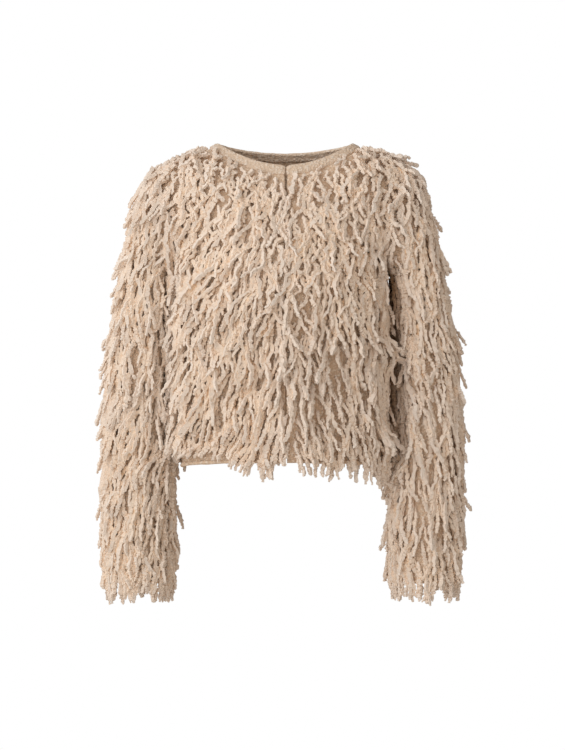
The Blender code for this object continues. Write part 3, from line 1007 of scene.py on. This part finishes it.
def growStrands(maker, points):
    # At each turn all points that lie further along their strand move on by one stride.
    begin = maker.tree.nodes.new("GeometryNodeRepeatInput")
    end = maker.tree.nodes.new("GeometryNodeRepeatOutput")
    begin.pair_with_output(end)
    steps = maker.given("Steps") - 1.0
    maker.feed(begin.inputs["Iterations"], steps)
    maker.feed(begin.inputs["Geometry"], points)
    turn = maker.out(begin, "Iteration")
    moving = maker.compare("INT", "GREATER_THAN", {"A_INT": maker.attribute("place", "INT"), "B_INT": turn})
    along = (turn + 1.0) / steps
    position = maker.value("GeometryNodeInputPosition")
    normal = maker.unit(maker.onForm(maker.value("GeometryNodeInputNormal"), "FLOAT_VECTOR"))
    lie = maker.onForm(maker.attribute("lie", "FLOAT_VECTOR"), "FLOAT_VECTOR")
    parts = maker.add("ShaderNodeSeparateXYZ", None, {"Vector": lie})
    tilt, lift, curl = [maker.out(parts, number) for number in range(3)]
    heading = headingAt(maker, along, normal, tilt, curl)
    ahead = maker.vector("ADD", position, maker.scaled(heading, maker.attribute("reach") / steps))
    cloth = {"Target": maker.formInfo(), "Source Position": ahead}
    near = maker.add("GeometryNodeProximity", {"target_element": "FACES"}, cloth)
    away = maker.unit(maker.vector("SUBTRACT", ahead, maker.out(near, "Position")))
    hanging = maker.ramp(maker.dot(away, down), *growth["freeFall"])
    tooLow = heightAt(maker, along, lift) - maker.out(near, "Distance")
    settled = maker.vector("ADD", ahead, maker.scaled(away, tooLow * growth["settling"] * (1.0 - hanging)))
    newHeading = maker.unit(maker.vector("SUBTRACT", settled, position))
    # Both are worked out before the points move.
    state = maker.store(maker.out(begin, "Item_0"), "next", settled, "FLOAT_VECTOR", moving)
    state = maker.store(state, "heading", newHeading, "FLOAT_VECTOR", moving)
    moves = {"Geometry": state, "Selection": moving, "Position": maker.attribute("next", "FLOAT_VECTOR")}
    maker.feed(maker.socket(end.inputs, "Item_0"), maker.value("GeometryNodeSetPosition", None, moves))
    return maker.out(end, "Item_0")


def spinYarn(maker, points):
    # The points of each strand become one length of knobbly yarn.
    place = maker.attribute("place", "INT")
    group = {"Points": points, "Curve Group ID": maker.attribute("strand", "INT"), "Weight": place + 0.0}
    curves = maker.value("GeometryNodePointsToCurves", None, group)
    jolts = {"Min": (-1.0, -1.0, -1.0), "Max": (1.0, 1.0, 1.0), "Seed": maker.seed("jolt")}
    jolt = maker.value("FunctionNodeRandomValue", {"data_type": "FLOAT_VECTOR"}, jolts)
    moves = {"Geometry": curves, "Offset": maker.scaled(jolt, maker.given("Crinkle"))}
    curves = maker.value("GeometryNodeSetPosition", None, moves)
    curves = maker.store(curves, "along", place / (maker.given("Steps") - 1.0))
    wide, fine = yarnShape["shades"]
    curves = maker.store(curves, "tint", maker.chance("tint") * wide + maker.chance("shade") * fine)
    along = maker.attribute("along")
    knob = maker.strandNoise(along + noiseLines["knob"], yarnShape["knobPace"])
    knob = 1.0 + knob * maker.given("Knobs") * yarnShape["knobGain"] + maker.scatter() * maker.given("Beads")
    stoutness = 1.0 + maker.given("Radius Spread") * maker.chance("stoutness", -1.0, 1.0)
    tip = maker.ramp(along, yarnShape["tipFrom"], 1.0, 1.0, yarnShape["tipSize"])
    root = maker.ramp(along, 0.0, yarnShape["rootTo"], yarnShape["rootSize"], 1.0)
    radius = maker.given("Radius") * stoutness * knob * tip * root
    ring = {"Resolution": maker.given("Sides"), "Radius": 1.0}
    profile = maker.value("GeometryNodeCurvePrimitiveCircle", {"mode": "RADIUS"}, ring)
    spun = {"Curve": curves, "Profile Curve": profile, "Scale": radius, "Fill Caps": True}
    mesh = maker.value("GeometryNodeCurveToMesh", None, spun)
    tuft = maker.scatter() * maker.given("Tufts") * maker.given("Radius")
    moves = {"Geometry": mesh, "Offset": maker.scaled(maker.value("GeometryNodeInputNormal"), tuft)}
    return maker.value("GeometryNodeSetPosition", None, moves)


def storeCover(maker, mesh):
    # Cover: how much of the open air round each place is taken up by other strands and by the cloth. This
    # share sets the yarn's painted shade, deeper and warmer where it is high.
    joined = maker.add("GeometryNodeJoinGeometry")
    maker.feed(joined.inputs[0], mesh)
    maker.feed(joined.inputs[0], maker.formInfo())
    around = maker.value("GeometryNodeRealizeInstances", None, {"Geometry": maker.out(joined)})
    outward = maker.value("GeometryNodeInputNormal")
    off = maker.scaled(outward, coverSizes["start"])
    start = maker.vector("ADD", maker.value("GeometryNodeInputPosition"), off)
    hidden = coverSizes["leastHidden"]
    whole = coverSizes["leastWhole"]
    for ray in spread(coverSizes["rays"]):
        facing = maker.dot(outward, ray)
        side = maker.math("SIGN", facing)
        looking = {
            "Target Geometry": around,
            "Source Position": start,
            "Ray Direction": maker.scaled(ray, side),
            "Ray Length": maker.given("Cover Reach"),
        }
        cast = maker.add("GeometryNodeRaycast", None, looking)
        near = 1.0 - maker.out(cast, "Hit Distance") / maker.given("Cover Reach")
        leaving = maker.dot(maker.out(cast, "Hit Normal"), ray) * side > 0.0
        share = facing * side * (1.0 - leaving)
        hidden = share * maker.out(cast, "Is Hit") * near + hidden
        whole = share + whole
    blur = {"Value": hidden / whole, "Iterations": coverSizes["blur"]}
    return maker.store(mesh, "cover", maker.value("GeometryNodeBlurAttribute", {"data_type": "FLOAT"}, blur))


def fringeTree():
    inputs = {"Cloth": "Geometry", "Form": "Object", **sizeSockets(strand), "Yarn": "Material"}
    maker = FringeMaker("fringe", inputs)
    mesh = storeCover(maker, spinYarn(maker, growStrands(maker, plantRoots(maker))))
    # Each strand takes the hollow's share from the form, for the yarn's painted shade.
    mesh = maker.store(mesh, "hollow", maker.onForm(maker.attribute("hollow")))
    # Faces stay flat, which looks softer on thin yarn than smooth ones.
    flat = maker.value("GeometryNodeSetShadeSmooth", None, {"Geometry": mesh, "Shade Smooth": False})
    return maker.finish(flat, maker.given("Yarn"))


fringeGrowth = fringeTree()
# A panel's fringe that would be too heavy whole is made in halves.  Rows of the panel, the half,
# the seed, and for a half the axis, the place and the side of the cut.
fringeRows = (
    ("front_right", "", 10, None),
    ("front_left", "", 11, None),
    ("back", "_right", 35, (0, 0.004, -1)),
    ("back", "_left", 37, (0, 0.004, 1)),
    ("sleeve_right", "_lower", 38, (2, -0.36, -1)),
    ("sleeve_right", "_upper", 40, (2, -0.36, 1)),
    ("sleeve_left", "_lower", 41, (2, -0.36, -1)),
    ("sleeve_left", "_upper", 43, (2, -0.36, 1)),
)
# What the materials and the mesh itself still need of the growth.
keptLayers = ("tint", "cover", "hollow", "position", "sharp_face", "sharp_edge")


def rootMesh(name, cut):
    mesh = panelMesh(panels.index(name), form)
    if cut:
        axis, middle, side = cut
        others = [f for f in mesh.faces if (f.calc_center_median()[axis] - middle) * side < 0]
        bmesh.ops.delete(mesh, geom=others, context="FACES")
    return closeMesh(mesh, bpy.data.meshes.new("roots"))


def fringePiece(name, mesh, seed):
    piece = bpy.data.objects.new(name, mesh)
    scene.collection.objects.link(piece)
    grower = piece.modifiers.new("growth", "NODES")
    grower.node_group = fringeGrowth
    setInputs(grower, dict(strand, Seed=seed, Form=form, Yarn=yarn))
    plain(piece)
    layers = piece.data.attributes
    for layer in [a.name for a in layers if not (a.is_required or a.name.startswith("."))]:
        if layer not in keptLayers:
            layers.remove(layers[layer])
    print(name, "triangles", sum(len(p.vertices) - 2 for p in piece.data.polygons))
    return piece


fringes = {name: [] for name in panels}
for name, half, seed, cut in fringeRows:
    fringes[name].append(fringePiece("fringe_" + name + half, rootMesh(name, cut), seed))
print("fringe grown")

bpy.data.objects.remove(form, do_unlink=True)
bpy.data.objects.remove(groundForm, do_unlink=True)


# The cut of what shows of each panel.
cuts = {
    "front_right": {"flat": (0.245, 0.480), "area": 0.093},
    "front_left": {"flat": (0.235, 0.480), "area": 0.089},
    "back": {"flat": (0.440, 0.478), "area": 0.178},
    "sleeve_right": {"flat": (0.340, 0.610), "area": 0.163},
    "sleeve_left": {"flat": (0.340, 0.610), "area": 0.163},
    "neckband": {"flat": (0.570, 0.016), "area": 0.0080},
}
for name, ground in grounds.items():
    cut = cuts[name]
    fringe = fringes[name]
    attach(ground, "root")
    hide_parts(name)
    for piece in fringe:
        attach(piece, "root")
    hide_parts(name + "_fringe")
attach(band, "root")
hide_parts("neckband")
cut = cuts["neckband"]


# Studio: pale all round, brighter on the left and warmer on the right, with one large soft lamp at
# the upper left.
studio = {
    "leftLight": 1.12,
    "rightLight": 0.26,
    "acrossFade": (-0.9, 0.9),
    "frontLight": 1.32,
    "backLight": 0.58,
    "depthFade": (-0.9, 0.5),
    "leftColour": (1.0, 0.975, 0.945, 1),
    "rightColour": (1.0, 0.875, 0.74, 1),
    "colourFade": (-0.3, 0.8),
    "keyPower": 11.0,
    "keyColour": (0.94, 0.98, 1.0),
    "keySize": 2.2,
    "keyPlace": (-1.7, -1.8, 0.9),
    "keyAim": (0, 0, -0.30),
    "floorHeight": -0.98,
    "floorReach": 1.6,
    "floorColour": (0.82, 0.77, 0.71, 1),
}


def setKeyLamp():
    light = bpy.data.lights.new("keyLamp", "AREA")
    light.shape = "SQUARE"
    light.size = studio["keySize"]
    light.energy = studio["keyPower"]
    light.color = studio["keyColour"]
    lamp = bpy.data.objects.new("keyLamp", light)
    lamp.location = studio["keyPlace"]
    towards = Vector(studio["keyAim"]) - Vector(studio["keyPlace"])
    lamp.rotation_euler = towards.to_track_quat("-Z", "Y").to_euler()
    scene.collection.objects.link(lamp)


def setWorld():
    # The camera sees white, and the cardigan sees the studio's light.
    world = bpy.data.worlds.new("studio")
    world.use_nodes = True
    world.node_tree.nodes.clear()
    scene.world = world
    maker = Maker(world.node_tree)
    seen = maker.value("ShaderNodeLightPath", name="Is Camera Ray")
    direction = maker.value("ShaderNodeTexCoord", name="Generated")
    sides = maker.add("ShaderNodeSeparateXYZ", None, {"Vector": direction})
    across, depth = maker.out(sides, 0), maker.out(sides, 1)
    light = maker.ramp(across, *studio["acrossFade"], studio["leftLight"], studio["rightLight"])
    light = light * maker.ramp(depth, *studio["depthFade"], studio["frontLight"], studio["backLight"])
    warmth = maker.ramp(across, *studio["colourFade"])
    tone = maker.between(studio["leftColour"], studio["rightColour"], warmth)
    shown = {"Color": maker.between(tone, white, seen), "Strength": seen + (1.0 - seen) * light}
    maker.add("ShaderNodeOutputWorld", None, {"Surface": maker.value("ShaderNodeBackground", None, shown)})


def floorMaterial():
    material, maker = newMaterial("floorPaint")
    seen = maker.value("ShaderNodeLightPath", name="Is Camera Ray")
    bright = maker.value("ShaderNodeEmission", None, {"Color": white, "Strength": 1.0})
    dull = maker.value("ShaderNodeBsdfDiffuse", None, {"Color": studio["floorColour"]})
    either = maker.value("ShaderNodeMixShader", None, {0: seen, 1: dull, 2: bright})
    maker.add("ShaderNodeOutputMaterial", None, {"Surface": either})
    return material


def setFloor():
    reach = studio["floorReach"]
    corners = [(-reach, -reach, 0), (reach, -reach, 0), (reach, reach, 0), (-reach, reach, 0)]
    mesh = bpy.data.meshes.new("floor")
    mesh.from_pydata(corners, [], [(0, 1, 2, 3)])
    mesh.materials.append(floorMaterial())
    floor = bpy.data.objects.new("floor", mesh)
    floor.location.z = studio["floorHeight"]
    scene.collection.objects.link(floor)


setKeyLamp()
setWorld()
setFloor()
print("studio set")
